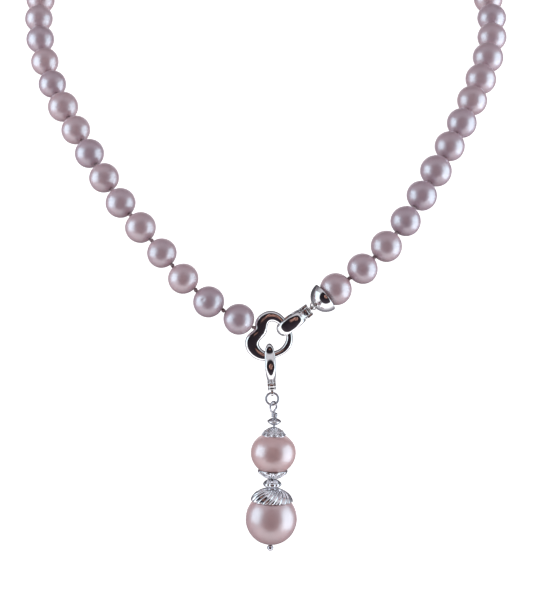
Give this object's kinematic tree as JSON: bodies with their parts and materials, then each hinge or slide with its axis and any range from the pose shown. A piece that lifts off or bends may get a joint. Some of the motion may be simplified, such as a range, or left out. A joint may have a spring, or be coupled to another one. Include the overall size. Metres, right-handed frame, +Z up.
{
  "type": "pearl necklace",
  "caption": "Closed hand-knotted pearl necklace with a lobed ring and hinged hook clasp, and a clip-on pendant of two larger pearls with metal caps.",
  "frame": {"origin": "the middle of the thread at the nape, where the necklace hangs on the neck", "axes": "+Z up, +X to the right seen from the front, +Y towards the back of the neck"},
  "size_m": [0.1359, 0.1356, 0.1724],
  "materials": {
    "strand_pearl": "gloss",
    "pendant_pearl": "gloss",
    "polished_silver": "polished",
    "bright_silver": "polished",
    "silk": "matte"
  },
  "bodies": {
    "nape": {"nape_pearls_left": "strand_pearl", "nape_pearls_back": "strand_pearl", "nape_pearls_right": "strand_pearl", "nape_silk": "silk"},
    "row_01": {"pearls_row_01": "strand_pearl", "silk_row_01": "silk"},
    "row_02": {"pearls_row_02": "strand_pearl", "silk_row_02": "silk"},
    "row_03": {"pearls_row_03": "strand_pearl", "silk_row_03": "silk"},
    "row_04": {"pearls_row_04": "strand_pearl", "silk_row_04": "silk"},
    "row_05": {"pearls_row_05": "strand_pearl", "silk_row_05": "silk"},
    "row_06": {"pearls_row_06": "strand_pearl", "silk_row_06": "silk"},
    "row_07": {"pearls_row_07": "strand_pearl", "silk_row_07": "silk"},
    "row_08": {"pearls_row_08": "strand_pearl", "silk_row_08": "silk"},
    "row_09": {"pearls_row_09": "strand_pearl", "silk_row_09": "silk"},
    "row_10": {"pearls_row_10": "strand_pearl", "silk_row_10": "silk"},
    "row_11": {"pearls_row_11": "strand_pearl", "silk_row_11": "silk"},
    "row_12": {"pearls_row_12": "strand_pearl", "silk_row_12": "silk"},
    "row_13": {"pearls_row_13": "strand_pearl", "silk_row_13": "silk"},
    "row_14": {"pearls_row_14": "strand_pearl", "silk_row_14": "silk", "end_cup": "polished_silver"},
    "clasp": {"clasp_ring": "polished_silver", "ring_knot": "silk", "hook_body": "polished_silver", "hook_hinge_pin": "bright_silver"},
    "hook_gate": {"hook_gate": "polished_silver"},
    "enhancer": {"enhancer_body": "polished_silver", "enhancer_hinge_pin": "bright_silver"},
    "enhancer_gate": {"enhancer_gate": "polished_silver"},
    "jump_ring": {"jump_ring": "bright_silver"},
    "pendant": {"head_pin": "bright_silver"},
    "upper_pearl_group": {"upper_pearl": "pendant_pearl", "upper_pearl_top_cap": "bright_silver", "upper_pearl_bottom_cap": "bright_silver"},
    "lower_pearl_group": {"lower_pearl": "pendant_pearl", "swirl_cap": "bright_silver"},
    "middle_bead": {"middle_bead": "bright_silver"},
    "top_rondelle": {"top_rondelle": "bright_silver"}
  },
  "joints": [
    {"name": "row_01_flex", "type": "hinge", "parent": "nape", "child": "row_01", "pos_m": [-0.0005, -0.05947, -0.02336], "axis": [0.9916, 0.1226, 0.0405], "range_deg": [-15, 15]},
    {"name": "row_02_flex", "type": "hinge", "parent": "row_01", "child": "row_02", "pos_m": [0.00018, -0.06635, -0.0288], "axis": [0.9918, 0.1208, 0.0408], "range_deg": [-15, 15]},
    {"name": "row_03_flex", "type": "hinge", "parent": "row_02", "child": "row_03", "pos_m": [0.00086, -0.0731, -0.03434], "axis": [0.9923, 0.1143, 0.0476], "range_deg": [-15, 15]},
    {"name": "row_04_flex", "type": "hinge", "parent": "row_03", "child": "row_04", "pos_m": [0.00138, -0.07964, -0.03993], "axis": [0.9928, 0.1072, 0.054], "range_deg": [-15, 15]},
    {"name": "row_05_flex", "type": "hinge", "parent": "row_04", "child": "row_05", "pos_m": [0.00169, -0.08597, -0.04561], "axis": [0.9931, 0.1025, 0.0571], "range_deg": [-15, 15]},
    {"name": "row_06_flex", "type": "hinge", "parent": "row_05", "child": "row_06", "pos_m": [0.00217, -0.09225, -0.05146], "axis": [0.9928, 0.1016, 0.0639], "range_deg": [-15, 15]},
    {"name": "row_07_flex", "type": "hinge", "parent": "row_06", "child": "row_07", "pos_m": [0.00265, -0.09808, -0.05718], "axis": [0.9927, 0.0982, 0.0707], "range_deg": [-15, 15]},
    {"name": "row_08_flex", "type": "hinge", "parent": "row_07", "child": "row_08", "pos_m": [0.00295, -0.10352, -0.06312], "axis": [0.9922, 0.0966, 0.0784], "range_deg": [-15, 15]},
    {"name": "row_09_flex", "type": "hinge", "parent": "row_08", "child": "row_09", "pos_m": [0.0032, -0.1085, -0.06926], "axis": [0.9912, 0.0981, 0.0884], "range_deg": [-15, 15]},
    {"name": "row_10_flex", "type": "hinge", "parent": "row_09", "child": "row_10", "pos_m": [0.00363, -0.11312, -0.07553], "axis": [0.9908, 0.0951, 0.0965], "range_deg": [-15, 15]},
    {"name": "row_11_flex", "type": "hinge", "parent": "row_10", "child": "row_11", "pos_m": [0.00448, -0.11712, -0.08178], "axis": [0.9896, 0.09, 0.112], "range_deg": [-15, 15]},
    {"name": "row_12_flex", "type": "hinge", "parent": "row_11", "child": "row_12", "pos_m": [0.00488, -0.12027, -0.08822], "axis": [0.9881, 0.0801, 0.1317], "range_deg": [-15, 15]},
    {"name": "row_13_flex", "type": "hinge", "parent": "row_12", "child": "row_13", "pos_m": [0.00491, -0.12253, -0.09473], "axis": [0.9828, 0.0719, 0.1699], "range_deg": [-15, 15]},
    {"name": "row_14_flex", "type": "hinge", "parent": "row_13", "child": "row_14", "pos_m": [0.00517, -0.12373, -0.09989], "axis": [0.9665, 0.0635, 0.2488], "range_deg": [-15, 15]},
    {"name": "clasp_swing", "type": "hinge", "parent": "row_14", "child": "clasp", "pos_m": [0.00434, -0.12504, -0.10555], "axis": [0.9536, 0.0078, 0.3009], "range_deg": [-12, 12]},
    {"name": "hook_gate_hinge", "type": "hinge", "parent": "clasp", "child": "hook_gate", "pos_m": [0.01037, -0.12498, -0.10425], "axis": [-0.5948, 0, 0.8039], "range_deg": [0, 40]},
    {"name": "enhancer_swing", "type": "hinge", "parent": "clasp", "child": "enhancer", "pos_m": [0.0009, -0.125, -0.11575], "axis": [0.9982, 0, 0.0605], "range_deg": [-25, 25]},
    {"name": "enhancer_gate_hinge", "type": "hinge", "parent": "enhancer", "child": "enhancer_gate", "pos_m": [0.00138, -0.125, -0.12365], "axis": [0.9982, 0, 0.0605], "range_deg": [0, 40]},
    {"name": "jump_ring_swing", "type": "hinge", "parent": "enhancer", "child": "jump_ring", "pos_m": [0.0015, -0.125, -0.1258], "axis": [0, 1, 0], "range_deg": [-12, 12]},
    {"name": "pendant_swing", "type": "hinge", "parent": "jump_ring", "child": "pendant", "pos_m": [0.0015, -0.125, -0.129], "axis": [1, 0, 0], "range_deg": [-30, 30]},
    {"name": "upper_pearl_spin", "type": "hinge", "parent": "pendant", "child": "upper_pearl_group", "pos_m": [0.001, -0.125, -0.1677], "axis": [0.0305, 0, 0.9995], "continuous": true},
    {"name": "lower_pearl_spin", "type": "hinge", "parent": "pendant", "child": "lower_pearl_group", "pos_m": [0.001, -0.125, -0.1677], "axis": [0.0305, 0, 0.9995], "continuous": true},
    {"name": "middle_bead_spin", "type": "hinge", "parent": "pendant", "child": "middle_bead", "pos_m": [0.001, -0.125, -0.1677], "axis": [0.0305, 0, 0.9995], "continuous": true},
    {"name": "top_rondelle_spin", "type": "hinge", "parent": "pendant", "child": "top_rondelle", "pos_m": [0.001, -0.125, -0.1677], "axis": [0.0305, 0, 0.9995], "continuous": true}
  ]
}
